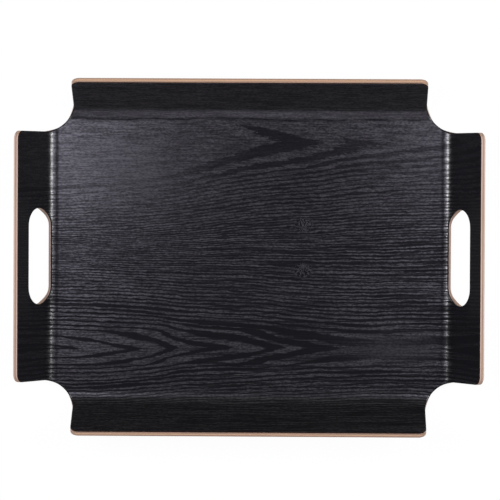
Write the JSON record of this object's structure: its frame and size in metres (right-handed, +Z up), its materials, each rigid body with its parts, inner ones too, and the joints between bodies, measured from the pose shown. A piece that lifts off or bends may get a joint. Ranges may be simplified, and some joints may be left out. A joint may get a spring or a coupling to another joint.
{
  "type": "rectangular tray",
  "caption": "Form-pressed plywood serving tray with a flat floor, flared walls, open round corners, hand slots in the short walls and dark stained faces over bare edges.",
  "frame": {"origin": "on the table, under the middle of the tray's floor", "axes": "+X along the long walls, +Y along the short walls with the hand slots, +Z up out of the open side"},
  "size_m": [0.45, 0.342, 0.052],
  "materials": {
    "stained_veneer": "open-grain veneer stained black, satin lacquer",
    "cross_grain_core": "bare sanded plywood edge",
    "long_grain_core": "bare sanded plywood edge"
  },
  "bodies": {
    "root": {"top_face_veneer": "stained_veneer", "upper_cross_veneer": "cross_grain_core", "centre_veneer": "long_grain_core", "lower_cross_veneer": "cross_grain_core", "bottom_face_veneer": "stained_veneer"}
  },
  "joints": []
}
